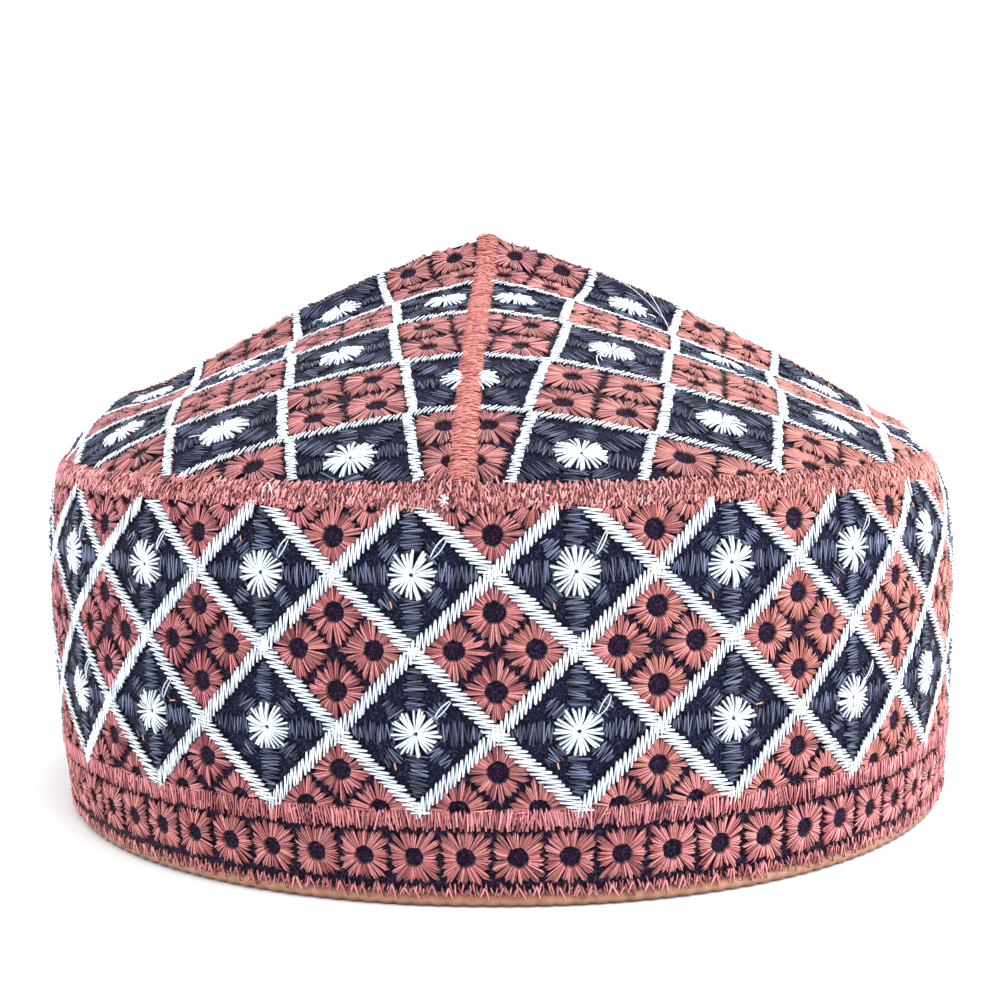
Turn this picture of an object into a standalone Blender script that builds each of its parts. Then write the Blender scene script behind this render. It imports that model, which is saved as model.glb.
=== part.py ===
"""An embroidered kufi: an upright round band, a pinched crown of two half-round panels, the satin
covered seams over their joins, and the tan binding under the bottom edge.

Metres, +Z up, the front towards -Y. The origin is the middle of the plane that the cap rests on.
Angles round the cap are measured from the front, and grow towards +X.
"""

import math

import bpy
import bmesh
import numpy as np

# Band: the outer face of its cloth
RIM_HALF_WIDTH = 0.0946
FOOT_HALF_WIDTH = 0.0931
DEPTH_PER_WIDTH = 0.978
BULGE = 0.0015
RIM_HEIGHT = 0.0716
WALL = 0.002

# Rim: it dips and leans in, more on the right than on the left
RIM_DIP = 0.0015
RIGHT_DIP_SHARE = 0.8
RIM_LEAN = 0.001
RIGHT_LEAN = 0.003
RIGHT_LEAN_POWER = 3
LEAN_HEIGHT = 0.014
LEAN_POWER_ON_CROWN = 10
DIP_POWER_ON_CROWN = 16

# Crown: a dome that leans to the right, with a pinched fold from left to right over its top
SEAM_X = -0.0022
DOME_RISE = 0.0356
DOME_POWER = 1.36
CROWN_TILT = 0.020
TILT_FADE_POWER = 14
SIDE_SAG = 0.0015
FOLD_RISE = 0.0089
FOLD_HALF_WIDTH = 0.0206
FOLD_EASE_POWER = 2
FOLD_FADE_POWER = 2

# Seams and binding
GAP = 0.0003
SATIN_THICKNESS = 0.0008
RIM_SATIN_HEIGHT = 0.0031
RIM_SATIN_REACH = 0.020
RIDGE_HALF_WIDTH = 0.0024
RIDGE_FOOT_EXTRA = 0.0002
RIDGE_HEIGHT = 0.0013
RIDGE_FOOT_RHO = 0.974
RIDGE_LIFT = 1.2 * GAP
RIDGE_APEX_LIFT = 0.6 * GAP
APEX_LIFT_POWER = 8
BINDING_HEIGHT = 0.0025
BINDING_WIDTH = 0.0024

# Fineness of the faceted solids
STEPS_ROUND = 72
CROWN_RINGS = 14
RING_CROWDING = 1.3
BAND_ROWS = 5
SHARP_ANGLE = math.radians(35)

BLACK_CLOTH = (0.021, 0.019, 0.032)
BRICK_THREAD = (0.515, 0.127, 0.091)
TAN_BINDING = (0.485, 0.205, 0.070)


def rim_lean(angle):
    """How far the rim leans in at this angle."""
    return RIM_LEAN + RIGHT_LEAN * max(0.0, math.sin(angle)) ** RIGHT_LEAN_POWER


def rim_height(angle):
    """Height of the cloth's rim at this angle."""
    return RIM_HEIGHT - RIM_DIP * (1 + RIGHT_DIP_SHARE * math.sin(angle))


def plan_point(angle, half_width, inset, height):
    """A point of the plan's ellipse, moved in by inset."""
    across = half_width - inset
    deep = half_width * DEPTH_PER_WIDTH - inset
    return np.array((across * math.sin(angle), -deep * math.cos(angle), height))


def band_half_width(angle, height):
    share = height / RIM_HEIGHT
    width = FOOT_HALF_WIDTH + (RIM_HALF_WIDTH - FOOT_HALF_WIDTH) * share + 4 * BULGE * share * (1 - share)
    lean_start = rim_height(angle) - LEAN_HEIGHT
    return width - rim_lean(angle) * (max(0.0, height - lean_start) / LEAN_HEIGHT) ** 2


def band_point(angle, height, inset=0.0):
    return plan_point(angle, band_half_width(angle, height), inset, height)


def crown_point(rho, angle):
    """A point of the crown's outer face: rho runs from 0 at the apex to 1 at the rim."""
    lean = rim_lean(angle) * rho**LEAN_POWER_ON_CROWN
    x = SEAM_X * (1 - rho) + (rho * RIM_HALF_WIDTH - lean) * math.sin(angle)
    y = -(rho * RIM_HALF_WIDTH - lean) * DEPTH_PER_WIDTH * math.cos(angle)
    dome = DOME_RISE * (1 - rho**DOME_POWER)
    fold = FOLD_RISE * max(0.0, 1 - abs(y) / FOLD_HALF_WIDTH) ** FOLD_EASE_POWER * (1 - rho**FOLD_FADE_POWER)
    tilt = CROWN_TILT * x * (1 - rho**TILT_FADE_POWER)
    sag = SIDE_SAG * math.sin(angle) ** 2 * 4 * rho * (1 - rho)
    dip = (RIM_HEIGHT - rim_height(angle)) * rho**DIP_POWER_ON_CROWN
    return np.array((x, y, RIM_HEIGHT + dome + fold - tilt - sag - dip))


def crown_normal(rho, angle):
    """The outward direction of the crown's face."""
    step = 0.01
    rho = max(rho, 2 * step)
    inner, outer = rho - step, min(rho + step, 1.0)
    slope = crown_point(outer, angle) - crown_point(inner, angle)
    turn = crown_point(rho, angle + step) - crown_point(rho, angle - step)
    normal = np.cross(turn, slope)
    normal *= math.copysign(1.0, normal[2])
    return normal / np.linalg.norm(normal)


def crown_rings():
    """The values of rho where the faceted crown has its rings, closer together near the rim."""
    return [1 - (1 - ring / CROWN_RINGS) ** RING_CROWDING for ring in range(1, CROWN_RINGS + 1)]


def thread_or_cloth(name, colour, roughness):
    material = bpy.data.materials.new(name)
    material.use_nodes = True
    shader = material.node_tree.nodes["Principled BSDF"]
    shader.inputs["Base Color"].default_value = (*colour, 1.0)
    shader.inputs["Roughness"].default_value = roughness
    shader.inputs["Metallic"].default_value = 0.0
    return material


def add_solid(name, points, faces, material):
    """One closed object, its faces turned outward."""
    mesh = bpy.data.meshes.new(name)
    shape = bmesh.new()
    corners = [shape.verts.new(point) for point in points]
    for face in faces:
        shape.faces.new([corners[index] for index in face])
    bmesh.ops.recalc_face_normals(shape, faces=shape.faces)
    if shape.calc_volume(signed=True) < 0:
        bmesh.ops.reverse_faces(shape, faces=shape.faces)
    shape.to_mesh(mesh)
    shape.free()
    mesh.materials.append(material)
    mesh.shade_smooth()
    mesh.set_sharp_from_angle(angle=SHARP_ANGLE)
    solid = bpy.data.objects.new(name, mesh)
    bpy.context.scene.collection.objects.link(solid)
    return solid


def ring_solid(name, section_at, material):
    """A closed ring from the section at each angle."""
    angles = [2 * math.pi * step / STEPS_ROUND for step in range(STEPS_ROUND)]
    sections = [section_at(angle) for angle in angles]
    around = len(sections[0])
    points = [point for section in sections for point in section]
    faces = []
    for step in range(STEPS_ROUND):
        here, there = step * around, (step + 1) % STEPS_ROUND * around
        for edge in range(around):
            after = (edge + 1) % around
            faces.append((here + edge, here + after, there + after, there + edge))
    return add_solid(name, points, faces, material)


def side_band(material):
    """The band's wall, from the binding up to the crown."""
    foot = BINDING_HEIGHT + GAP

    def section(angle):
        top = rim_height(angle) - GAP
        heights = [foot + (top - foot) * row / BAND_ROWS for row in range(BAND_ROWS + 1)]
        outer = [band_point(angle, height) for height in heights]
        inner = [band_point(angle, height, WALL) for height in reversed(heights)]
        return outer + inner

    return ring_solid("side_band", section, material)


def crown_panel(name, side, material):
    """Half of the crown: side is 1 to the right of the seam and -1 to its left."""
    foot_angle = math.asin(SEAM_X / RIM_HALF_WIDTH)
    sweep = math.pi - 2 * side * foot_angle
    meridians = STEPS_ROUND // 2
    angles = [foot_angle + side * sweep * step / meridians for step in range(meridians + 1)]
    rhos = crown_rings()
    seam_face = SEAM_X + side * GAP / 2

    def clear_of_seam(point):
        point[0] = side * max(side * point[0], side * seam_face)
        return point

    def inside(rho, angle):
        if rho == 1.0:
            lean = rim_lean(angle)
            point = plan_point(angle, RIM_HALF_WIDTH - lean, WALL, rim_height(angle))
        else:
            point = crown_point(rho, angle) - WALL * crown_normal(rho, angle)
            point[2] = max(point[2], rim_height(angle))
        return clear_of_seam(point)

    apex = clear_of_seam(crown_point(0.0, 0.0))
    points = [apex, apex - np.array((0.0, 0.0, WALL))]
    points += [clear_of_seam(crown_point(rho, angle)) for rho in rhos for angle in angles]
    points += [inside(rho, angle) for rho in rhos for angle in angles]

    row = meridians + 1
    inner_start = 2 + CROWN_RINGS * row

    def outer(ring, step):
        return 2 + ring * row + step

    def inner(ring, step):
        return inner_start + ring * row + step

    faces = []
    for step in range(meridians):
        faces.append((0, outer(0, step), outer(0, step + 1)))
        faces.append((1, inner(0, step + 1), inner(0, step)))
        for ring in range(CROWN_RINGS - 1):
            faces.append(
                (outer(ring, step), outer(ring + 1, step), outer(ring + 1, step + 1), outer(ring, step + 1))
            )
            faces.append(
                (inner(ring, step + 1), inner(ring + 1, step + 1), inner(ring + 1, step), inner(ring, step))
            )
        last = CROWN_RINGS - 1
        faces.append((outer(last, step), inner(last, step), inner(last, step + 1), outer(last, step + 1)))
    for step in (0, meridians):
        faces.append((0, 1, inner(0, step), outer(0, step)))
        for ring in range(CROWN_RINGS - 1):
            faces.append(
                (outer(ring, step), inner(ring, step), inner(ring + 1, step), outer(ring + 1, step))
            )
    return add_solid(name, points, faces, material)


def crown_seam(material):
    """The satin ring that wraps the corner between the band and the crown."""
    # Columns: share of the satin's height below the rim, share of its thickness
    on_band = ((1.0, 0.0), (1.0, 0.6), (0.75, 1.0), (0.30, 1.0))
    # Columns: share of the satin's reach over the crown, share of its thickness
    on_crown = ((0.5, 1.0), (1.0, 0.6), (1.0, 0.0), (0.5, 0.0))
    # Columns: shares of the thickness outward and upward, at the corner
    corner_outside, corner_inside = (0.7, 0.6), (0.0, 0.0)

    def section(angle):
        rim = rim_height(angle)

        def band_side(below, proud):
            return band_point(angle, rim - below * RIM_SATIN_HEIGHT, -GAP - proud * SATIN_THICKNESS)

        def crown_side(reach, proud):
            rho = 1 - reach * RIM_SATIN_REACH
            return crown_point(rho, angle) + (GAP + proud * SATIN_THICKNESS) * crown_normal(rho, angle)

        def corner(outward, upward):
            point = band_point(angle, rim, -GAP - outward * SATIN_THICKNESS)
            point[2] += GAP + upward * SATIN_THICKNESS
            return point

        points = [band_side(below, proud) for below, proud in on_band]
        points.append(corner(*corner_outside))
        points += [crown_side(reach, proud) for reach, proud in on_crown]
        points.append(corner(*corner_inside))
        return points

    return ring_solid("crown_seam", section, material)


def ridge_seam(material):
    """The satin cord over the crown's seam, from the front rim over the apex to the back rim."""
    foot_angle = math.asin(SEAM_X / RIM_HALF_WIDTH)
    back_angle = math.pi - foot_angle
    rhos = [rho for rho in crown_rings() if rho < RIDGE_FOOT_RHO] + [RIDGE_FOOT_RHO]
    line = [crown_point(rho, foot_angle) for rho in reversed(rhos)]
    line += [crown_point(0.0, 0.0)]
    line += [crown_point(rho, back_angle) for rho in rhos]
    # Columns: share of the half width, share of the height
    outline = ((-1.0, 0.0), (-0.92, 0.55), (-0.58, 0.9), (0.0, 1.0), (0.58, 0.9), (0.92, 0.55), (1.0, 0.0))
    points = []
    for place, centre in enumerate(line):
        before = line[max(place - 1, 0)]
        after = line[min(place + 1, len(line) - 1)]
        along = (after - before) / np.linalg.norm(after - before)
        up = np.array((0.0, -along[2], along[1]))
        rho_here = abs(centre[1]) / (RIM_HALF_WIDTH * DEPTH_PER_WIDTH)
        half_width = RIDGE_HALF_WIDTH + RIDGE_FOOT_EXTRA * rho_here
        lift = RIDGE_LIFT + RIDGE_APEX_LIFT * (1 - rho_here) ** APEX_LIFT_POWER
        for across, high in outline:
            side_step = np.array((across * half_width, 0.0, 0.0))
            points.append(centre + side_step + (lift + high * RIDGE_HEIGHT) * up)
    count = len(outline)
    faces = [tuple(range(count)), tuple(reversed(range(len(points) - count, len(points))))]
    for place in range(len(line) - 1):
        here, there = place * count, (place + 1) * count
        for edge in range(count):
            after = (edge + 1) % count
            faces.append((here + edge, here + after, there + after, there + edge))
    return add_solid("ridge_seam", points, faces, material)


def rim_edge(material):
    """The binding strip under the band, with a flat underside."""
    # Columns: inset from the band's foot as a share of the width, share of the height
    outline = (
        (0.06, 1.0),
        (0.0, 0.55),
        (0.12, 0.14),
        (0.32, 0.0),
        (0.80, 0.0),
        (0.96, 0.18),
        (1.0, 0.6),
        (0.96, 1.0),
    )

    def section(angle):
        return [
            plan_point(angle, FOOT_HALF_WIDTH, inset * BINDING_WIDTH, high * BINDING_HEIGHT)
            for inset, high in outline
        ]

    return ring_solid("rim_edge", section, material)


def main():
    for thing in list(bpy.data.objects):
        bpy.data.objects.remove(thing)
    cloth = thread_or_cloth("black_cloth", BLACK_CLOTH, 0.9)
    thread = thread_or_cloth("brick_thread", BRICK_THREAD, 0.5)
    binding = thread_or_cloth("tan_binding", TAN_BINDING, 0.65)
    side_band(cloth)
    crown_panel("crown_left", -1, cloth)
    crown_panel("crown_right", 1, cloth)
    crown_seam(thread)
    ridge_seam(thread)
    rim_edge(binding)


main()
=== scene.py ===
"""The looks of an embroidered kufi: its ground cloth, every stitch as a thread of its own, the
satin seams, the tan binding, and a white stage with the camera.

The cap's shapes are worked out in millimetres, +Z up, with its front towards -Y, and add_mesh
turns them into metres. Angles round the cap are measured from the front, and grow towards +X.
The pattern is drawn in flat coordinates, (u, v), that each face turns into places in space.
"""

import math
from functools import partial
from typing import NamedTuple

import bpy
import numpy as np
from mathutils import Matrix, Vector


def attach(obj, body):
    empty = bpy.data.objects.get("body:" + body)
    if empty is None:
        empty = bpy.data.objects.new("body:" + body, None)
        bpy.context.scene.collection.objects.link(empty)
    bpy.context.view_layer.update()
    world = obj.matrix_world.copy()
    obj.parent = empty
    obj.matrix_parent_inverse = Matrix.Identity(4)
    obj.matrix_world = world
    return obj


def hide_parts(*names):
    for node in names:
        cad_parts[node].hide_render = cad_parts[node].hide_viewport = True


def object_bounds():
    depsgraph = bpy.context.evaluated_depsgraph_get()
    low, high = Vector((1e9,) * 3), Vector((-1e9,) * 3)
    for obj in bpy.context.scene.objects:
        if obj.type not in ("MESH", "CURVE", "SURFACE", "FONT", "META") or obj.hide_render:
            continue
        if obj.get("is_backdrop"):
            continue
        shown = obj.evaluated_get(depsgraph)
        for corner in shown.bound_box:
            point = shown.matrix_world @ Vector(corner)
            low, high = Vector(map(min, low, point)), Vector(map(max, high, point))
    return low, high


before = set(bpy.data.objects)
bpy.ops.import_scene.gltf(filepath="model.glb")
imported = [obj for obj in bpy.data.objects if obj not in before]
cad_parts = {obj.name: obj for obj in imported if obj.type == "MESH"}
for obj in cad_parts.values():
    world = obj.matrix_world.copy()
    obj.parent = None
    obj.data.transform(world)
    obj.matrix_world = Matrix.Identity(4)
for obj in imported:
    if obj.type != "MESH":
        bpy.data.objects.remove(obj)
CAD_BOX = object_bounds()

bl_info = {
    "name": "Embroidered kufi",
    "version": (1, 0, 0),
    "blender": (4, 5, 0),
    "location": "View3D > Sidebar > Kufi",
    "description": "Lays cloth, stitches and binding on the solid parts of a round cap",
    "category": "Object",
}

TURN = 2 * math.pi
# A millimetre in the scene's metres
MM = 0.001

# Shape of the cloth's outer face, as the solid parts have it
RIM_HALF_WIDTH = 94.6
FOOT_HALF_WIDTH = 93.1
DEPTH_PER_WIDTH = 0.978
BULGE = 1.5
RIM_HEIGHT = 71.6
WALL = 2.0
RIM_DIP = 1.5
RIGHT_DIP_SHARE = 0.8
RIM_LEAN = 1.0
RIGHT_LEAN = 3.0
LEFT_LEAN = 1.3
SIDE_LEAN_POWER = 3
LEAN_HEIGHT = 14.0
LEAN_POWER_ON_CROWN = 10
DIP_POWER_ON_CROWN = 16
SEAM_X = -2.2
DOME_RISE = 35.6
DOME_POWER = 1.36
CROWN_TILT = 0.020
TILT_FADE_POWER = 14
SIDE_SAG = 1.5
FOLD_RISE = 8.9
FOLD_HALF_WIDTH = 20.6
FOLD_EASE_POWER = 2
FOLD_FADE_POWER = 2
# How far the foot stands forward of its ellipse at the front's right and left quarters
FOOT_FORWARD_RIGHT = 2.6
FOOT_FORWARD_LEFT = -1.3
GAP = 0.3
RIDGE_HALF_WIDTH = 2.05
RIDGE_FOOT_EXTRA = 0.3
RIDGE_HEIGHT = 0.75
RIDGE_LIFT = 0.25
RIDGE_SINK = 0.8
RIDGE_FOOT_RHO = 0.95
RIDGE_END_RHO = 0.988
RIDGE_DRIFT = 0.9
RIDGE_DRIFT_REACH = 13.0
BINDING_HEIGHT = 2.5
BINDING_WIDTH = 2.4
# Stitches and stuffing raise the crown: height, middle and reach by side, the last two in rho
APEX_PADDING, APEX_PADDING_TILT, APEX_PADDING_REACH = 0.6, 0.25, 0.28
SIDE_PADDING = {-1: (3.7, 0.90, 0.10), 1: (1.7, 0.95, 0.05)}
SIDE_PADDING_DEPTH = 34.0
PADDING_RIM_FADE = 28

# Layout of the band: rows of tile corners and centres, and where the pattern starts
LATTICE_ROWS = (17.2, 30.4, 44.3, 56.9, 69.5)
FIRST_DIAMOND = 16.2
FIRST_HEM_ROSETTE = 5.74
HEM_ROSETTE_HEIGHT = 9.0
HEM_LINE_FOOT = 14.0
HEM_LINE_TOP = 17.3
# The hem line's two layers: spacing of the strokes and how high they stand off the cloth
HEM_LINE_LAYERS = ((0.42, 0.6), (0.6, 0.78))
SHORT_STITCH_SPACING = 0.31
BAND_ROUND_HALF_WIDTH = 94.9
TUCK_UNDER_HEM_LINE = 15.8
TUCK_UNDER_RIM = 1.7
LATTICE_TUCK_UNDER_RIM = 2.6
HIGHEST_ROSETTE = 68.8
LATTICE_LEGS = 38
# The white lines beside a tile corner: columns and rows of their left and right ends, then the
# half length and the direction of their strokes
LATTICE_LINES = (
    ((0, 0), (1, 1), 1.95, (0.06, 1.0)),
    ((-1, 1), (0, 0), 2.15, (1.0, -0.07)),
)

# Layout of the crown: square tiles in rows parallel to the front
CROWN_TILE = 22.42
CROWN_FIRST_ROW = -12.42
CROWN_TWIST = 0.158
CROWN_COLUMNS = 5
CROWN_ROWS = range(-5, 5)
CROWN_EDGE = 0.986
CROWN_REACH = 110.0
COLUMN_SPACING = 0.42
ROW_SPACING = 0.62
CREST_SPACING = 0.4
FOLD_SLIP_EVERYWHERE = 0.4
FOLD_SLIP = 10.5
FOLD_SLIP_START = -8.0
FOLD_SLIP_FADE = 21.0
# How far the column lines stand off their places, by side and column
COLUMN_SHIFT = {1: (0.0, 0.7, 0.3, -0.3, 0.0), -1: (0.0, 0.0, -0.5, 0.0, 0.0)}
# How far the pattern spreads from the seam on the crest, and over which distance, by side
CREST_SPREAD = {1: (2.9, 30.0), -1: (2.4, 18.0)}
CREST_MIDDLE, CREST_REACH = -5.0, 12.0

# Leaves by turns, long and short: start, length, width and pitch of their zigzag
BAND_LEAVES = ((3.7, 7.4, 4.3, 0.26), (3.4, 4.0, 3.6, 0.26))
CROWN_LEAVES = ((4.6, 8.8, 5.2, 0.26), (4.2, 5.4, 4.6, 0.28))

# Loose threads on the right crown panel: three flat places each
CROWN_SLIPS = (
    ((25.0, -10.9), (35.5, -7.9), (44.0, 1.1)),
    ((26.0, -10.9), (38.0, -9.0), (46.0, 15.1)),
    ((32.0, 46.0), (31.2, 50.0), (32.5, 54.0)),
    ((53.0, 59.5), (53.2, 53.5), (56.5, 53.0)),
)
# Loops at the rim: place and width. Whiskers there: angle, height and length
RIM_LOOPS = ((-36.3, 2.6), (121.0, 2.0), (205.0, 2.6), (-150.0, 2.2))
RIM_WHISKERS = ((-1.27, 67.6, 1.7), (1.36, 69.2, 1.5), (2.4, 68.0, 1.3))
RIM_KNOTS = 22
SEAM_KNOT = (-4.9, -1.3)
SEAM_KNOT_ENDS = 22
# Orange ends beside a daisy: their start, their stroke, and the share of daisies that has one
ORANGE_BITS = (
    ((-4.1, -4.6), (0.3, -1.5), 0.7),
    ((-3.8, 6.0), (0.2, -1.2), 0.5),
    ((4.4, 2.2), (1.8, 0.2), 0.3),
)

# Satin rows over the rim: their middle heights from the corner, and the pad's foot and top
RIM_ROWS = (-2.1, -1.6, -1.0, -0.4, 0.3, 1.0)
RIM_SPACING = 0.41
RIM_PAD = (-2.3, 1.7)
RIM_PAD_BULGE = 0.45
# Inner edge of the rim's pad: how far in and how far down
RIM_PAD_INNER = ((2.6, 1.5), (1.6, 3.4))
# Columns over the ridge: the left and right end of their strokes from the seam
RIDGE_COLUMNS = ((-2.35, -0.2), (0.2, 2.35), (-1.2, 1.2))
RIDGE_SPACING = 0.4
SEAM_FOOT_STROKES = 120

# Section of the binding from its upper outer edge: shares of its width and of its height
BINDING_OUTLINE = (
    (0.10, 1.0), (0.0, 0.8), (-0.08, 0.55), (-0.06, 0.32), (0.05, 0.12), (0.22, 0.0),
    (0.5, 0.0), (0.8, 0.0), (0.96, 0.18), (1.0, 0.6), (0.96, 1.0), (0.55, 1.0),
)
BINDING_PUFF = 0.34
BINDING_PINCH = 0.35

# Shares of its width that a straight stroke has at its four stations
BLUNT = np.array((0.0, 1.0, 1.0, 0.0))


class Rosette(NamedTuple):
    """The looks of one kind of rosette."""

    petals: int = 22
    eye: float = 1.85
    half_u: float = 4.85
    half_v: float = 4.85
    squareness: float = 8.0
    turn: float = TURN / 8
    shortest: float = 0.92
    longest: float = 1.1
    rise: float = 0.6
    width: float = 0.195
    spread: float = 0.34
    light: float = -0.14
    motley: float = 1.0
    painted_sheen: float = 0.0


BAND_ROSETTE = Rosette()
HEM_ROSETTE = Rosette(eye=1.75, half_u=4.55, turn=0.0, spread=0.35, light=-0.09)
# The crown's rosettes carry a painted bluish sheen, as threads seen at a glancing angle show
CROWN_ROSETTE = Rosette(
    petals=24, eye=2.0, half_u=6.05, half_v=5.95, turn=0.0, longest=1.06, width=0.21,
    spread=0.37, light=-0.2, motley=1.6, painted_sheen=0.07,
)


def stack(*parts):
    """One array whose last axis holds the parts."""
    return np.stack(np.broadcast_arrays(*parts), axis=-1)


def unit(vectors):
    return vectors / np.maximum(np.linalg.norm(vectors, axis=-1, keepdims=True), 1e-12)


def hump(value, middle, reach):
    """A smooth rise to 1 at the middle that dies away over reach."""
    return np.exp(-(((value - middle) / reach) ** 2))


def by_turns(count):
    """One side and the other by turns, as -1 and 1."""
    return np.where(np.arange(count) % 2, 1.0, -1.0)


def rim_lean(angle):
    """How far the rim leans in at this angle."""
    aside = np.sin(angle)
    right = RIGHT_LEAN * np.maximum(0.0, aside) ** SIDE_LEAN_POWER
    return RIM_LEAN + right + LEFT_LEAN * np.maximum(0.0, -aside) ** SIDE_LEAN_POWER


def rim_height(angle):
    """Height of the cloth's rim at this angle."""
    return RIM_HEIGHT - RIM_DIP * (1 + RIGHT_DIP_SHARE * np.sin(angle))


def plan(angle, half_width, inset, height):
    """Points of the plan, an ellipse a little out of true at the foot, moved in by inset."""
    quarter = np.sin(2 * angle) * (np.cos(angle) > 0)
    forward = FOOT_FORWARD_RIGHT * np.maximum(0.0, quarter)
    forward = forward + FOOT_FORWARD_LEFT * np.maximum(0.0, -quarter)
    across = (half_width - inset) * np.sin(angle)
    deep = -(half_width * DEPTH_PER_WIDTH - inset) * np.cos(angle)
    return stack(across, deep - forward * np.maximum(0.0, 1 - height / RIM_HEIGHT) ** 2, height)


def band_half_width(angle, height):
    share = height / RIM_HEIGHT
    width = FOOT_HALF_WIDTH + (RIM_HALF_WIDTH - FOOT_HALF_WIDTH) * share
    above = np.maximum(0.0, height - (rim_height(angle) - LEAN_HEIGHT)) / LEAN_HEIGHT
    return width + 4 * BULGE * share * (1 - share) - rim_lean(angle) * above**2


def crown_padding(rho, angle, y):
    """How far stitches and stuffing raise the cloth at the apex and near the rim's sides."""
    aside = np.sin(angle)
    beside = 0.0
    for side, (height, middle, reach) in SIDE_PADDING.items():
        beside = beside + height * np.maximum(0.0, side * aside) ** 2 * hump(rho, middle, reach)
    beside = beside * hump(y, 0.0, SIDE_PADDING_DEPTH) * np.clip(PADDING_RIM_FADE * (1 - rho), 0.0, 1.0)
    return (APEX_PADDING + APEX_PADDING_TILT * aside) * hump(rho, 0.0, APEX_PADDING_REACH) + beside


def crown_face(rho, angle):
    """Points of the crown's outer face: rho runs from 0 at the apex to 1 at the rim."""
    out = rho * RIM_HALF_WIDTH - rim_lean(angle) * rho**LEAN_POWER_ON_CROWN
    x = SEAM_X * (1 - rho) + out * np.sin(angle)
    y = -out * DEPTH_PER_WIDTH * np.cos(angle)
    dome = DOME_RISE * (1 - rho**DOME_POWER)
    pinch = np.maximum(0.0, 1 - np.abs(y) / FOLD_HALF_WIDTH) ** FOLD_EASE_POWER
    fold = FOLD_RISE * pinch * (1 - rho**FOLD_FADE_POWER)
    tilt = CROWN_TILT * x * (1 - rho**TILT_FADE_POWER)
    sag = SIDE_SAG * np.sin(angle) ** 2 * 4 * rho * (1 - rho)
    dip = (RIM_HEIGHT - rim_height(angle)) * rho**DIP_POWER_ON_CROWN
    return stack(x, y, RIM_HEIGHT + dome + fold - tilt - sag - dip + crown_padding(rho, angle, y))


def crown_normals(rho, angle, step=0.01):
    """Upward directions of the crown's outer face."""
    rho = np.maximum(rho, 2 * step)
    slope = crown_face(rho + step, angle) - crown_face(rho - step, angle)
    turn = crown_face(rho, angle + step) - crown_face(rho, angle - step)
    normal = unit(np.cross(turn, slope))
    return normal * np.sign(normal[..., 2:])


FRONT_SEAM_ANGLE = math.asin(SEAM_X / RIM_HALF_WIDTH)


def over_fold(v):
    """The crown's pattern lies further forward over the fold, whose crest is on a row line."""
    behind = np.maximum(0.0, v - FOLD_SLIP_START) / FOLD_SLIP_FADE
    return v + FOLD_SLIP_EVERYWHERE + FOLD_SLIP * np.exp(-(behind**2))


def cell(value, top, count):
    """Which of count even steps up to top a value lies on, and how far it is to the next."""
    place = np.clip(value / top * (count - 1), 0, count - 1.001)
    whole = place.astype(int)
    return whole, place - whole


def arc_lengths(line):
    """How far each point of a line lies along it."""
    return np.concatenate(([0.0], np.cumsum(np.linalg.norm(np.diff(line, axis=0), axis=1))))


class Face:
    """A face of the cap that flat pattern coordinates are laid on."""

    reach = 0.4

    def place(self, u, v, lift):
        """Points that stand lift off the face, and the outward directions there."""
        across = self.points(u + self.reach, v) - self.points(u - self.reach, v)
        along = self.points(u, v + self.reach) - self.points(u, v - self.reach)
        normal = unit(np.cross(across, along))
        return self.points(u, v) + np.asarray(lift)[..., None] * normal, normal


class BandFace(Face):
    """The upright band: u is the way round from the front to the right, v the height."""

    def __init__(self):
        self.angles = np.linspace(0.0, TURN, 2881)
        self.arcs = arc_lengths(plan(self.angles, BAND_ROUND_HALF_WIDTH, 0.0, 0.0))
        self.round = self.arcs[-1]

    def steps(self, count):
        """Even steps round the band."""
        return np.arange(count) * self.round / count

    def angle(self, u):
        return np.interp(np.mod(u, self.round), self.arcs, self.angles)

    def points(self, u, v):
        angle = self.angle(u)
        return plan(angle, band_half_width(angle, v), 0.0, v)


class CornerFace(BandFace):
    """The rim: v is negative down the band and positive over the crown."""

    reach = 1.0

    def points(self, u, v):
        angle = self.angle(u)
        height = rim_height(angle) + np.minimum(v, 0.0)
        on_band = plan(angle, band_half_width(angle, height), 0.0, height)
        on_crown = crown_face(1 - np.maximum(v, 0.0) / RIM_HALF_WIDTH, angle)
        return np.where((v < 0)[..., None], on_band, on_crown)


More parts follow.
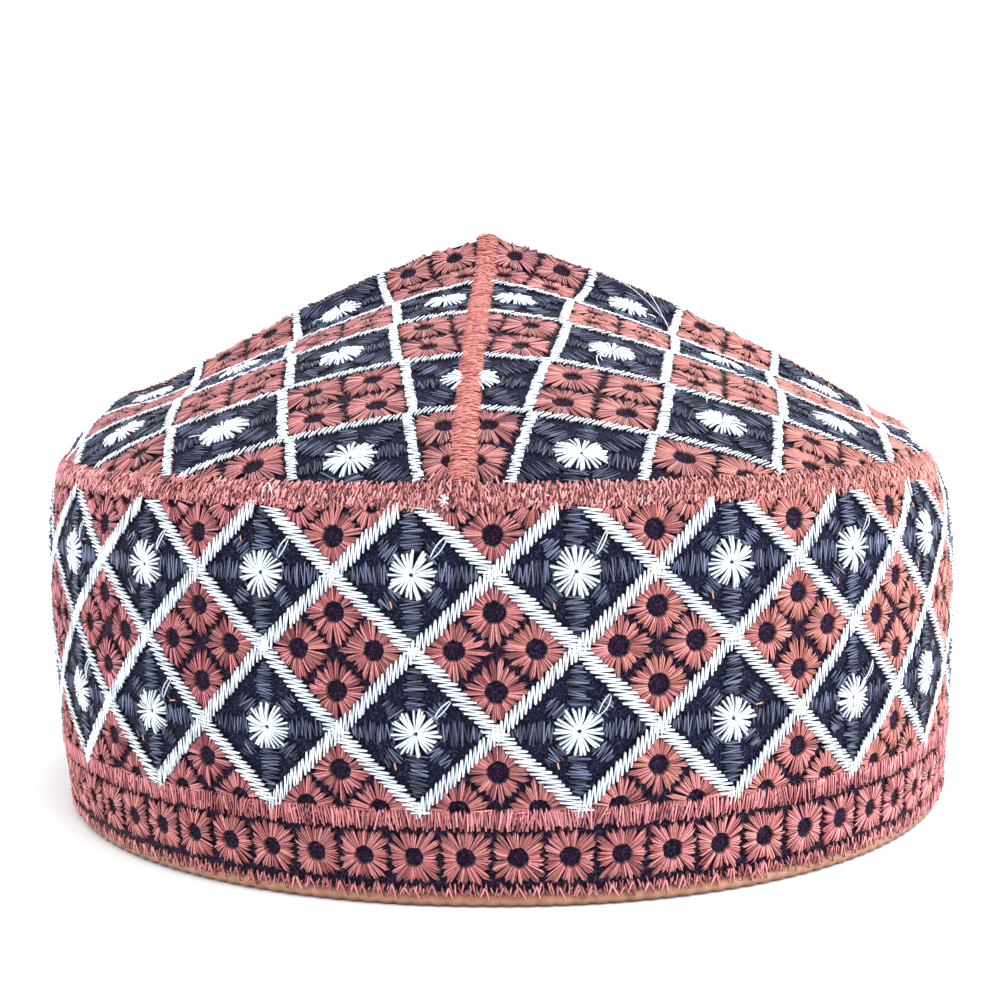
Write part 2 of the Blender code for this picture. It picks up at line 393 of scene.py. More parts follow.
class CrownFace(Face):
    """One crown panel: u is the way from the seam to the side, v the way towards the front."""

    def __init__(self, side, seed):
        self.side, self.seed = side, seed
        self.sweep = math.pi - 2 * side * FRONT_SEAM_ANGLE
        shares = np.linspace(0.0, 1.0, 181)
        rhos = np.linspace(0.0, 1.04, 417)
        lines = crown_face(rhos[None, :], self.angle(shares)[:, None])
        lengths = np.array([arc_lengths(line) for line in lines])
        self.slants = np.linspace(0.0, lengths[:, -1].max(), 417)
        self.table = np.stack([np.interp(self.slants, row, rhos) for row in lengths])

    def angle(self, share):
        return FRONT_SEAM_ANGLE + self.side * self.sweep * share

    def share(self, u, v):
        """How far round from the front seam to the back one a flat place is, from 0 to 1."""
        return (np.arctan2(u, v) - CROWN_TWIST) / (math.pi - 2 * CROWN_TWIST)

    def polar(self, u, v):
        """rho and the angle under flat pattern coordinates."""
        shift, reach = CREST_SPREAD[self.side]
        u = u + shift * np.exp(-np.maximum(u, 0.0) / reach) * hump(v, CREST_MIDDLE, CREST_REACH)
        v = over_fold(v)
        share = np.clip(self.share(u, v), 0.0, 1.0)
        row, past_row = cell(share, 1.0, len(self.table))
        column, past_column = cell(np.hypot(u, v), self.slants[-1], len(self.slants))
        near, far = (
            self.table[line, column] * (1 - past_column) + self.table[line, column + 1] * past_column
            for line in (row, row + 1)
        )
        return near * (1 - past_row) + far * past_row, self.angle(share)

    def flat(self, rho, share):
        """Flat pattern coordinates over rho and the share of the way round."""
        rows = np.rint(share * (len(self.table) - 1)).astype(int)
        slant = np.array([np.interp(rho, self.table[row], self.slants) for row in rows]).T
        bearing = CROWN_TWIST + share * (math.pi - 2 * CROWN_TWIST)
        shown = np.linspace(-140.0, 140.0, 561)
        return slant * np.sin(bearing), np.interp(slant * np.cos(bearing), over_fold(shown), shown)

    def inside(self, u, v, margin):
        """Whether places lie on the panel, margin away from the seam."""
        share = self.share(u, over_fold(v))
        rho, angle = self.polar(u, v)
        from_seam = self.side * (crown_face(rho, angle)[..., 0] - SEAM_X)
        return (rho < CROWN_EDGE) & (share > 0) & (share < 1) & (from_seam > margin)

    def place(self, u, v, lift):
        rho, angle = self.polar(u, v)
        rho = np.minimum(rho, CROWN_EDGE)
        normal = crown_normals(rho, angle)
        return crown_face(rho, angle) + np.asarray(lift)[..., None] * normal, normal


class RidgeFace(Face):
    """The cord over the seam: u is across it, v the way along it from front to back."""

    def __init__(self):
        rhos = np.linspace(0.0, RIDGE_END_RHO, 120)
        front = crown_face(rhos[::-1], FRONT_SEAM_ANGLE)
        back = crown_face(rhos[1:], math.pi - FRONT_SEAM_ANGLE)
        self.line = np.concatenate((front, back))
        self.line[:, 0] += RIDGE_DRIFT * hump(self.line[:, 1], 0.0, RIDGE_DRIFT_REACH)
        self.arcs = arc_lengths(self.line)
        self.length = self.arcs[-1]

    def centre(self, v):
        return stack(*(np.interp(v, self.arcs, self.line[:, axis]) for axis in range(3)))

    def points(self, u, v, reach=1.5):
        centre = self.centre(v)
        along = unit(self.centre(v + reach) - self.centre(v - reach))
        rho = np.abs(centre[..., 1]) / (RIM_HALF_WIDTH * DEPTH_PER_WIDTH)
        half_width = RIDGE_HALF_WIDTH + RIDGE_FOOT_EXTRA * rho
        high = RIDGE_HEIGHT * np.sqrt(np.maximum(0.0, 1 - np.minimum(1.0, np.abs(u) / half_width) ** 3))
        fade = np.clip((RIDGE_END_RHO + 0.01 - rho) / (RIDGE_END_RHO - RIDGE_FOOT_RHO), 0.0, 1.0)
        high = (RIDGE_LIFT + high) * fade
        return centre + stack(u, -along[..., 2] * high, along[..., 1] * high)


BAND = BandFace()
CORNER = CornerFace()
PANELS = {"left": CrownFace(-1, 40), "right": CrownFace(1, 30)}
RIDGE = RidgeFace()


def add_mesh(name, points, faces, slot, tones=None, finish=None):
    """A shown piece from points and same-sided faces, riding on the cap's one body."""
    mesh = bpy.data.meshes.new(name)
    points = np.reshape(points, (-1, 3)) * MM
    mesh.vertices.add(len(points))
    mesh.vertices.foreach_set("co", points.astype(np.float32).ravel())
    mesh.loops.add(faces.size)
    mesh.loops.foreach_set("vertex_index", faces.astype(np.int32).ravel())
    mesh.polygons.add(len(faces))
    mesh.polygons.foreach_set("loop_start", np.arange(0, faces.size, faces.shape[1], dtype=np.int32))
    if tones is not None:
        tone = mesh.attributes.new("tone", "FLOAT_COLOR", "POINT")
        tone.data.foreach_set("color", tones.astype(np.float32).ravel())
    mesh.update(calc_edges=True)
    mesh.shade_smooth()
    mesh.materials.append(material_for(finish or slot))
    piece = bpy.data.objects.new(name, mesh)
    bpy.context.scene.collection.objects.link(piece)
    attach(piece, "root")
    return piece


def spindle_faces(rings):
    """Triangles of one thread: a tip, rings of three points, and a tip."""
    faces = []
    last = 1 + 3 * rings
    for edge in range(3):
        after = (edge + 1) % 3
        faces.append((0, 1 + edge, 1 + after))
        faces.append((last, last - 3 + after, last - 3 + edge))
        for here in range(1, last - 3, 3):
            faces.append((here + edge, here + 3 + edge, here + 3 + after))
            faces.append((here + edge, here + 3 + after, here + after))
    return np.array(faces)


class Threads:
    """Stitches gathered for one piece. Each is a closed three-sided spindle on its face."""

    def __init__(self, seed):
        self.random = np.random.default_rng(seed)
        self.points, self.faces, self.tones = [], [], []
        self.count = 0

    def lifts(self, stations, low, high, count):
        """Heights over the face at a thread's stations, moved by chance for each thread."""
        return np.array(stations) + self.random.uniform(low, high, (count, 1))

    def radii(self, width, low, high, count, stations=BLUNT):
        """Radii at a thread's stations, swollen by chance for each thread."""
        return np.array(stations) * width * self.random.uniform(low, high, (count, 1))

    def groups(self, across, number, spread):
        """A slow change by chance round the band, which makes groups of like threads."""
        return np.interp(
            across, np.linspace(0.0, BAND.round, number), self.random.normal(0.0, spread, number)
        )

    def add(
        self, face, path, lift, radius, tone=0.0, light=0.0, painted_sheen=0.0, vary=1.0, clamp=None, keep=None
    ):
        """Adds threads along path, (threads, stations, 2), with lift and radius per station.

        tone is how orange the threads are, light how much lighter or darker, which in places is
        painted light and shade, the next how far a painted bluish sheen greys them, and vary how
        unlike one another. Threads whose middle fails keep are left out, and clamp holds the ends
        of the others in.
        """
        lift, radius = (np.broadcast_to(part, path.shape[:2]) for part in (lift, radius))
        tone, light = (np.broadcast_to(part, len(path)) for part in (tone, light))
        if keep is not None:
            kept = keep(*path.mean(axis=1).T)
            path, lift, radius, tone, light = (part[kept] for part in (path, lift, radius, tone, light))
        if clamp is not None:
            path = clamp(path)
        threads, stations = path.shape[:2]
        if threads == 0:
            return
        points, normal = face.place(path[..., 0], path[..., 1], lift)
        along = unit(np.gradient(points, axis=1))
        side = unit(np.cross(along, normal))
        up = 1.1 * np.cross(side, along)
        middle = slice(1, stations - 1)
        centre, side, up = (part[:, middle] for part in (points, side, up))
        wide = radius[:, middle, None]
        rings = np.stack((centre + side * wide, centre + up * wide, centre - side * wide), axis=2)
        body = np.concatenate((points[:, :1], rings.reshape(threads, -1, 3), points[:, -1:]), axis=1)
        size = body.shape[1]
        starts = self.count + np.arange(threads)[:, None, None] * size
        tones = np.zeros((threads, size, 4))
        shade = self.random.random((threads, 1))
        tones[:, :, 0] = 0.5 + (shade - 0.5) * vary + light[:, None]
        # Painted shade and highlight: 0 on the sides and tips of each thread, 1 along its top
        tones[:, 1:-1, 1] = np.tile((0.0, 1.0, 0.0), stations - 2)
        # Painted sheen: how far the finish greys this thread towards a pale blue
        tones[:, :, 2] = painted_sheen
        tones[:, :, 3] = 0.5 + tone[:, None]
        self.points.append(body.reshape(-1, 3))
        self.faces.append((spindle_faces(stations - 2) + starts).reshape(-1, 3))
        self.tones.append(tones.reshape(-1, 4))
        self.count += threads * size

    def make(self, name, slot):
        points, faces, tones = (np.concatenate(part) for part in (self.points, self.faces, self.tones))
        add_mesh(name, points, faces, slot, tones)


def petal_bearings(random, flowers, petals, waver):
    """Directions of each flower's petals, even but for waver, a share of their spacing."""
    slot = TURN / petals
    even = random.uniform(0.0, slot, (flowers, 1)) + np.arange(petals) * slot
    return even + random.uniform(-waver, waver, (flowers, petals)) * slot


def petal_paths(centres, reach, bearing):
    """Paths out from flower centres: reach and bearing are (flowers, petals, stations)."""
    across = centres[:, None, 0, None] + reach * np.cos(bearing)
    along = centres[:, None, 1, None] + reach * np.sin(bearing)
    return stack(across, along).reshape(-1, reach.shape[-1], 2)


def squarish(bearing, half_u, half_v, power):
    """The reach of a rounded square's outline in each direction."""
    total = (np.abs(np.cos(bearing)) / half_u) ** power + (np.abs(np.sin(bearing)) / half_v) ** power
    return total ** (-1 / power)


def add_rosettes(threads, face, centres, look, tone, painted_light=0.0, clamp=None, keep=None):
    """Round flowers with a bare eye: three threads in each petal, that close up at its tip.

    tone is how orange each flower is; the argument after it is painted light, how much lighter each flower
    is than its look says.
    """
    random = threads.random
    shape = (len(centres), look.petals)
    bearing = petal_bearings(random, *shape, 0.18)
    reach = squarish(bearing - look.turn, look.half_u, look.half_v, look.squareness)
    reach = reach * random.uniform(look.shortest, look.longest, shape)
    eye = look.eye * random.uniform(0.95, 1.05, (len(centres), 1)) + random.uniform(-0.1, 0.1, shape)
    petal_shade = random.uniform(-0.04, 0.08, shape)
    light = look.light + np.repeat(np.broadcast_to(painted_light, len(centres)), look.petals)
    for side in (-1, 0, 1):
        end = reach - random.uniform(0.0, 0.75, shape) * abs(side)
        reaches = stack(eye - 0.25, eye + 0.2, eye + (end - eye) * 0.74, end)
        by_eye = eye * TURN / look.petals / 3
        spacing = side * stack(by_eye, by_eye, look.spread, 0.17)
        wander = random.uniform(-0.09, 0.09, spacing.shape)
        path = petal_paths(centres, reaches, bearing[..., None] + (spacing + wander) / reaches)
        height = threads.lifts((-0.2, look.rise, 0.42, -0.05), -0.12, 0.16, len(path))
        width = threads.radii(look.width, 0.85, 1.12, len(path), (0.0, 0.95, 1.0, 0.0))
        warm = (petal_shade + random.uniform(-0.03, 0.05, shape)).ravel() * look.motley
        warm = np.repeat(tone, look.petals) + warm
        threads.add(face, path, height, width, warm, light, look.painted_sheen, clamp=clamp, keep=keep)


def add_daisies(threads, face, centres, radius, petals, width, keep=None):
    """White flowers: thick round-ended strokes from a small dark centre."""
    random = threads.random
    shape = (len(centres), petals)
    bearing = petal_bearings(random, *shape, 0.3)
    reach = radius * random.uniform(0.86, 1.08, shape)
    reaches = stack(0.12, 0.52, reach * 0.55, reach - 0.35, reach)
    bend = random.uniform(-0.08, 0.08, (*shape, 1)) * (0.0, 0.0, 1.0, 1.0, 1.0)
    path = petal_paths(centres, reaches, bearing[..., None] + bend)
    height = threads.lifts((0.3, 0.55, 0.85, 0.5, 0.1), -0.12, 0.16, len(path))
    radii = threads.radii(width, 0.8, 1.12, len(path), (0.0, 0.6, 0.95, 0.9, 0.0))
    threads.add(face, path, height, radii, keep=keep)


def strokes(starts, ends, blunt=0.3):
    """Straight paths of four stations, the inner ones blunt in from the two ends."""
    length = np.linalg.norm(ends - starts, axis=-1, keepdims=True)
    share = np.minimum(blunt / np.maximum(length, 1e-9), 0.4)
    shares = np.concatenate((0 * share, share, 1 - share, 0 * share + 1), axis=-1)[..., None]
    return starts[:, None] * (1 - shares) + ends[:, None] * shares


def zigzag(corners):
    """Strokes from each corner of zigzag lines to the next: corners are (lines, corners, 2)."""
    return strokes(corners[:, :-1].reshape(-1, 2), corners[:, 1:].reshape(-1, 2))


def add_leaves(threads, face, hearts, bearing, start, length, width, pitch, light, keep):
    """Slate leaves that point away from hearts: a zigzag across the leaf's own axis."""
    random = threads.random
    legs = round(length / pitch)
    share = (np.arange(legs + 1) / legs)[None]
    taper = 1.0 - 0.5 * np.maximum(0.0, 2 * share - 1) ** 1.5
    swell = np.where(share < 0.5, 0.82 + 0.36 * share, taper)
    half = width / 2 * swell * random.uniform(0.6, 1.2, (len(hearts), legs + 1))
    zag = by_turns(legs + 1) * half
    forward = start + length * share + random.uniform(-0.16, 0.16, half.shape)
    lean = random.uniform(-0.16, 0.16, (len(hearts), 1)) + random.uniform(-0.14, 0.14, half.shape)
    axis = np.array((math.cos(bearing), math.sin(bearing)))
    across = np.array((-axis[1], axis[0]))
    path = zigzag(hearts[:, None] + axis * (forward + lean * zag)[..., None] + across * zag[..., None])
    height = threads.lifts((0.0, 0.3, 0.3, 0.0), -0.05, 0.25, len(path))
    radii = threads.radii(0.155, 0.7, 1.2, len(path))
    threads.add(face, path, height, radii, light=light, keep=keep)


def make_leaves(name, seed, face, hearts, first, leaves, light, keep=None):
    """Eight leaves round each heart, from the direction first on, long and short by turns."""
    threads = Threads(seed)
    for eighth in range(8):
        bearing = first + eighth * TURN / 8
        add_leaves(threads, face, hearts, bearing, *leaves[eighth % 2], light, keep)
    threads.make(name, "slate_thread")


def add_loose(threads, face, corners, lift, radius):
    """Single threads that lie loosely along smooth curves through three places each."""
    first, middle, last = np.moveaxis(corners, 1, 0)[:, :, None]
    t = np.linspace(0.0, 1.0, 8)
    along = t[:, None]
    path = first * (1 - along) * (1 - 2 * along) + middle * 4 * along * (1 - along)
    path = path + last * along * (2 * along - 1)
    arch = lift * (0.35 + 0.65 * np.sin(math.pi * t)) + 0.2
    threads.add(face, path, arch, radius * np.minimum(1.0, 8 * t * (1 - t)))


def lattice_point(column, row):
    """The flat place of a tile corner or centre on the band: columns are half a diamond wide."""
    half = BAND.round / bpy.context.scene.kufi.diamonds / 2
    height = np.interp(row, range(len(LATTICE_ROWS)), LATTICE_ROWS)
    return stack(FIRST_DIAMOND + column * half, height)


def band_tiles(rows, offset):
    """Columns and rows of the band's tiles, offset columns from the first diamond."""
    diamonds = bpy.context.scene.kufi.diamonds
    column, row = np.meshgrid(2 * np.arange(diamonds) + offset, rows)
    return column.ravel(), row.ravel()


def band_hearts():
    """Centres of the band's black tiles."""
    return lattice_point(*band_tiles((1, 3), 0))


def tuck_in(path):
    """Ends that would pass the hem line or the rim's satin stop under them."""
    top = rim_height(BAND.angle(path[..., 0])) - TUCK_UNDER_RIM
    return stack(path[..., 0], np.clip(path[..., 1], TUCK_UNDER_HEM_LINE, top))


def on_open_band(u, v, below_rim=TUCK_UNDER_RIM):
    """Whether places lie between the hem line and the rim's satin."""
    return (v > TUCK_UNDER_HEM_LINE) & (v < rim_height(BAND.angle(u)) - below_rim)


def make_band_rosettes(name, rows):
    threads = Threads(11 + rows[0])
    column, row = band_tiles(rows, 1)
    for right, up in ((0.5, 0.0), (0.0, 0.5), (-0.5, 0.0), (0.0, -0.5)):
        on_band = (row + up >= 0) & (row + up <= len(LATTICE_ROWS) - 1)
        centres = lattice_point(column + right, row + up)[on_band]
        centres[:, 1] = np.minimum(centres[:, 1], HIGHEST_ROSETTE)
        aside = np.sin(BAND.angle(centres[:, 0]))
        # Painted light: the rosettes lighter towards the right side
        painted_light = 0.14 * np.maximum(0.0, aside)
        add_rosettes(threads, BAND, centres, BAND_ROSETTE, 0.1 * aside, painted_light, tuck_in, on_open_band)
    threads.make(name, "brick_thread")


def make_band_daisies():
    """The band's white daisies, most with a jump thread beside them."""
    threads = Threads(13)
    random = threads.random
    hearts = band_hearts()
    add_daisies(threads, BAND, hearts, 4.3, 29, 0.33)
    jumping = hearts[random.random(len(hearts)) < 0.7]
    start = jumping + (3.1, 2.4)
    end = jumping + (5.6, 6.4) + random.uniform(-0.8, 0.8, jumping.shape)
    for sideways in (-0.3, 0.3):
        middle = (start + end) / 2 + (sideways, -sideways) * random.uniform(0.5, 1.3, (len(start), 1))
        add_loose(threads, BAND, np.stack((start, middle, end), axis=1), 0.8, 0.13)
    threads.make("band_daisies", "white_thread")


def make_band_lattice(width):
    """White zigzag lines between the tiles: level strokes on falling lines, upright on rising ones."""
    threads = Threads(14)
    random = threads.random
    diamonds = bpy.context.scene.kufi.diamonds
    share = np.linspace(-0.03, 1.03, LATTICE_LEGS + 1)[:, None]
    keep = partial(on_open_band, below_rim=LATTICE_TUCK_UNDER_RIM)
    zag = by_turns(LATTICE_LEGS + 1)
    for row in range(len(LATTICE_ROWS) - 1):
        column = 2 * np.arange(diamonds) + row % 2
        for (left, low), (right, high), reach, across in LATTICE_LINES:
            start = lattice_point(column + left, row + low)[:, None]
            end = lattice_point(column + right, row + high)[:, None]
            half = random.uniform(0.86, 1.12, (diamonds, LATTICE_LEGS + 1)) * reach
            corners = start * (1 - share) + end * share + (zag * half)[..., None] * across
            corners += random.uniform(-0.1, 0.1, corners.shape)
            path = zigzag(corners)
            lift = threads.lifts((0.25, 0.72, 0.72, 0.25), -0.1, 0.22, len(path))
            radii = threads.radii(width, 0.88, 1.1, len(path))
            threads.add(BAND, path, lift, radii, clamp=tuck_in, keep=keep)
    threads.make("band_lattice", "white_thread")


def make_hem_rosettes():
    threads = Threads(21)
    number = bpy.context.scene.kufi.hem_rosettes
    across = FIRST_HEM_ROSETTE + BAND.steps(number)
    # Painted light: the hem's rosettes lighter towards the right side
    painted_light = 0.25 * np.maximum(0.0, np.sin(BAND.angle(across)))
    centres = stack(across, HEM_ROSETTE_HEIGHT)
    add_rosettes(threads, BAND, centres, HEM_ROSETTE, np.zeros(number), painted_light)
    threads.make("hem_rosettes", "brick_thread")


def make_hem_line(width):
    """The upright satin line over the hem rosettes, whose strokes lean in groups."""
    threads = Threads(22)
    random = threads.random
    for spacing, high in HEM_LINE_LAYERS:
        count = int(BAND.round / spacing)
        across = BAND.steps(count) + random.uniform(-0.12, 0.12, count)
        slant = threads.groups(across, 240, 0.3) + random.normal(0.0, 0.14, count)
        foot = stack(across - slant, HEM_LINE_FOOT + random.uniform(-0.6, 0.6, count))
        top = stack(across + slant, HEM_LINE_TOP + random.uniform(-0.3, 0.4, count))
        lift = threads.lifts((-0.05, high, high, 0.1), -0.12, 0.14, count)
        radii = threads.radii(width, 0.8, 1.1, count)
        threads.add(BAND, strokes(foot, top), lift, radii, light=0.12)
    threads.make("hem_line", "brick_thread")


def make_whip_stitches(width):
    """Stitches like upturned Vs over the binding, and the short ones above it."""
    threads = Threads(23)
    random = threads.random
    regular = bpy.context.scene.kufi.whip_stitches
    top_at = BAND.steps(regular) + random.uniform(-0.5, 0.5, regular)
    high = random.uniform(3.7, 4.6, regular)
    # Smaller ones stand between them here and there
    extra = regular // 2
    count = regular + extra
    top_at = np.concatenate((top_at, random.uniform(0.0, BAND.round, extra)))
    high = np.concatenate((high, random.uniform(3.0, 4.0, extra)))
    for share, low in ((-0.28, 1.6), (0.34, 1.2)):
        top = stack(top_at + random.uniform(-0.15, 0.15, count), high)
        foot_at = top_at + BAND.round / regular * share * random.uniform(0.5, 1.4, count)
        foot = stack(foot_at, low + random.uniform(-0.1, 0.6, count))
        lift = threads.lifts((0.1, 0.7, 0.65, 0.1), -0.1, 0.2, count)
        radii = threads.radii(width, 0.85, 1.2, count, (0.0, 1.15, 1.1, 0.0))
        tone = random.uniform(0.0, 0.1, count)
        threads.add(BAND, strokes(top, foot, 0.4), lift, radii, tone, 0.1)
    short = int(BAND.round / SHORT_STITCH_SPACING)
    across = BAND.steps(short) + random.uniform(-0.4, 0.4, short)
    top_height = random.uniform(2.9, 4.7, short) + 0.5 * np.sin(BAND.angle(across))
    top = stack(across + random.uniform(-0.7, 0.7, short), top_height)
    foot = stack(across, random.uniform(2.0, 2.9, short))
    lift = threads.lifts((0.0, 0.4, 0.5, 0.3), -0.1, 0.2, short)
    threads.add(BAND, strokes(top, foot), lift, BLUNT * width * 0.85)
    threads.make("whip_stitches", "brick_thread")


def crown_tiles(brick):
    """Centres of the crown's brick or black tiles, in flat coordinates."""
    places = [(column, row) for column in range(CROWN_COLUMNS) for row in CROWN_ROWS]
    chosen = [place for place in places if (sum(place) % 2 == 0) == brick]
    return (np.array(chosen) + 0.5) * CROWN_TILE + (0.0, CROWN_FIRST_ROW)


def make_crown_rosettes(side, face):
    """Four rosettes on each brick tile, more orange towards the right."""
    threads = Threads(face.seed + 1)
    quarter = CROWN_TILE / 4
    shifts = np.array([(right, up) for right in (-quarter, quarter) for up in (-quarter, quarter)])
    centres = (crown_tiles(True)[:, None] + shifts).reshape(-1, 2)
    rho, angle = face.polar(*centres.T)
    warmth = 0.16 * np.clip(np.sin(angle) * rho, 0.0, 1.0)
    add_rosettes(threads, face, centres, CROWN_ROSETTE, warmth, keep=partial(face.inside, margin=1.2))
    threads.make(f"crown_rosettes_{side}", "brick_thread")


def make_crown_daisies(side, face):
    threads = Threads(face.seed + 3)
    add_daisies(threads, face, crown_tiles(False), 4.8, 33, 0.34, partial(face.inside, margin=1.5))
    threads.make(f"crown_daisies_{side}", "white_thread")


def make_crown_lattice(side, face, width):
    """White lines between the crown's tiles, each bent a little towards the black tile beside it."""
    threads = Threads(face.seed + 4)
    random = threads.random
    keep = partial(face.inside, margin=1.8)
    count = int(2 * CROWN_REACH / COLUMN_SPACING)
    along = np.linspace(-CROWN_REACH, CROWN_REACH, count + 1)
    row = np.floor((along - CROWN_FIRST_ROW) / CROWN_TILE)
    zag = by_turns(count + 1)
    for column in range(1, CROWN_COLUMNS):
        to_black = np.where((column + row) % 2 == 0, -1.0, 1.0)
        place = column * CROWN_TILE + COLUMN_SHIFT[face.side][column] + 0.6 * to_black
        half = 1.05 * random.uniform(0.8, 1.2, count + 1)
        path = zigzag(stack(place + zag * half, along - zag * 0.3)[None])
        lift = threads.lifts((0.2, 0.75, 0.75, 0.2), -0.1, 0.2, len(path))
        threads.add(face, path, lift, BLUNT * width, keep=keep)
    for row in range(CROWN_ROWS.start, CROWN_ROWS.stop + 1):
        if row != 0:
            threads.add(face, *row_strokes(threads, face, row, ROW_SPACING), BLUNT * width, keep=keep)
    threads.make(f"crown_lattice_{side}", "white_thread")


def row_strokes(threads, face, row, spacing):
    """Paths and lifts of leaning strokes over one row line of the crown."""
    random = threads.random
    count = int(CROWN_REACH / spacing)
    along = np.linspace(0.0, CROWN_REACH, count) + random.uniform(-0.12, 0.12, count)
    to_black = np.where((np.floor(along / CROWN_TILE) + row) % 2 == 0, -1.0, 1.0)
    place = CROWN_FIRST_ROW + row * CROWN_TILE + 0.3 * to_black
    rise = random.uniform(0.75, 1.15, count)
    drop = random.uniform(0.8, 1.25, count)
    lean = face.side * random.uniform(0.5, 0.85, count)
    path = strokes(stack(along - lean, place + drop), stack(along + lean, place - rise))
    return path, threads.lifts((0.15, 0.65, 0.65, 0.2), -0.08, 0.2, count)


def make_crest_line(side, face, width):
    """Brick strokes over the crest of the fold, in place of a white line."""
    threads = Threads(face.seed + 5)
    path, lift = row_strokes(threads, face, 0, CREST_SPACING)
    tone = threads.random.uniform(-0.05, 0.1, len(path))
    threads.add(face, path, lift + 0.1, BLUNT * width, tone, keep=partial(face.inside, margin=1.5))
    threads.make(f"crest_line_{side}", "brick_thread")


def make_loose_threads():
    """Long slips on the crown, tails at some daisies, and loops, whiskers and knots at the rim."""
    threads = Threads(61)
    random = threads.random
    slips = np.array(CROWN_SLIPS)
    add_loose(threads, PANELS["right"], slips[:2], 0.9, 0.12)
    add_loose(threads, PANELS["right"], slips[2:], 0.8, 0.14)
    for face in PANELS.values():
        hearts = crown_tiles(False)
        hearts = hearts[face.inside(*hearts.T, 6.0)]
        hearts = hearts[random.random(len(hearts)) < 0.55]
        bearing = random.uniform(0.0, TURN, len(hearts))
        towards = stack(np.cos(bearing), np.sin(bearing))
        bow = stack(-towards[:, 1], towards[:, 0]) * random.uniform(-1.2, 1.2, (len(hearts), 1))
        start = hearts + 4.2 * towards
        end = hearts + random.uniform(6.5, 8.0, (len(hearts), 1)) * towards
        add_loose(threads, face, np.stack((start, (start + end) / 2 + bow, end), axis=1), 0.8, 0.13)
    for across, wide in RIM_LOOPS:
        loop = ((across - wide / 2, -2.2), (across, 0.4), (across + wide / 2, -1.8))
        add_loose(threads, CORNER, np.array((loop,)) + (BAND.round, 0.0), 1.5, 0.1)
    for angle, height, length in RIM_WHISKERS:
        across = np.interp(angle % TURN, BAND.angles, BAND.arcs)
        path = np.array((across, height)) + np.arange(4)[:, None] * (0.1, 0.05)
        lift = np.array((0.0, 0.35, 0.7, 1.0)) * length
        threads.add(BAND, path[None], lift, (0.0, 0.09, 0.07, 0.0))
    place = random.uniform(0.0, BAND.round, RIM_KNOTS)
    foot = stack(place, random.uniform(-2.6, -0.6, RIM_KNOTS))
    knot = random.normal(0.0, 0.3, (SEAM_KNOT_ENDS, 2)) + SEAM_KNOT + (BAND.round, 0.0)
    foot = np.concatenate((foot, knot))
    path = strokes(foot, foot + random.uniform(-0.8, 0.8, foot.shape))
    higher = np.where(np.arange(len(foot)) < RIM_KNOTS, 0.0, 0.6)[:, None]
    threads.add(CORNER, path, higher + (0.5, 0.9, 0.9, 0.5), BLUNT * 0.16)
    threads.make("loose_threads", "white_thread")


def make_bits(width):
    """Short orange ends left beside the band's leaves."""
    threads = Threads(62)
    random = threads.random
    hearts = band_hearts()
    for offset, stroke, share in ORANGE_BITS:
        start = hearts[random.random(len(hearts)) < share] + offset
        start = start + random.uniform(-0.5, 0.5, start.shape)
        threads.add(BAND, strokes(start, start + stroke), (0.3, 0.5, 0.5, 0.2), BLUNT * 0.7 * width, 0.45)
    threads.make("orange_bits", "brick_thread")


def make_rim_satin(width):
    """Short leaning strokes in overlapping rows over the corner of the rim."""
    threads = Threads(51)
    random = threads.random
    for middle in RIM_ROWS:
        count = int(BAND.round / RIM_SPACING)
        across = BAND.steps(count) + random.uniform(-0.3, 0.3, count)
        half = random.uniform(0.4, 0.85, count)
        height = middle + random.uniform(-0.45, 0.4, count)
        lean = half * random.normal(0.22, 0.32, count)
        path = strokes(stack(across - lean, height - half), stack(across + lean, height + half), 0.35)
        lift = threads.lifts((0.05, 0.62, 0.62, 0.05), -0.2, 0.3, count)
        warm = 0.2 * random.random(count) ** 3
        light = 0.24 + threads.groups(across, 300, 0.33)
        aside = np.sin(BAND.angle(across))
        warm = warm + 0.1 * np.maximum(0.0, aside)
        # Painted shade: the satin darker towards the sides, most on the right where the lamps light it
        # strongly; the 0.05 below is a painted bluish sheen
        light = light - np.where(aside > 0, 0.4, -0.12) * aside
        threads.add(CORNER, path, lift, threads.radii(width, 0.9, 1.25, count), warm, light, 0.05)
    threads.make("rim_satin", "brick_thread")


def make_ridge_satin(width):
    """Nearly level strokes in three overlapping columns over the seam's cord."""
    threads = Threads(52)
    random = threads.random
    count = int(RIDGE.length / RIDGE_SPACING)
    for left, right in RIDGE_COLUMNS:
        along = np.linspace(0.3, RIDGE.length - 0.3, count) + random.uniform(-0.18, 0.18, count)
        slant = random.uniform(-0.4, 0.4, count)
        starts = stack(left + random.uniform(-0.4, 0.3, count), along - slant)
        ends = stack(right + random.uniform(-0.3, 0.4, count), along + slant)
        lift = threads.lifts((-0.15, 0.06, 0.06, -0.15), -0.08, 0.14, count)
        tone = random.uniform(0.0, 0.18, count)
        threads.add(RIDGE, strokes(starts, ends, 0.45), lift, BLUNT * 1.15 * width, tone, -0.12, vary=0.5)
    threads.make("ridge_satin", "brick_thread")


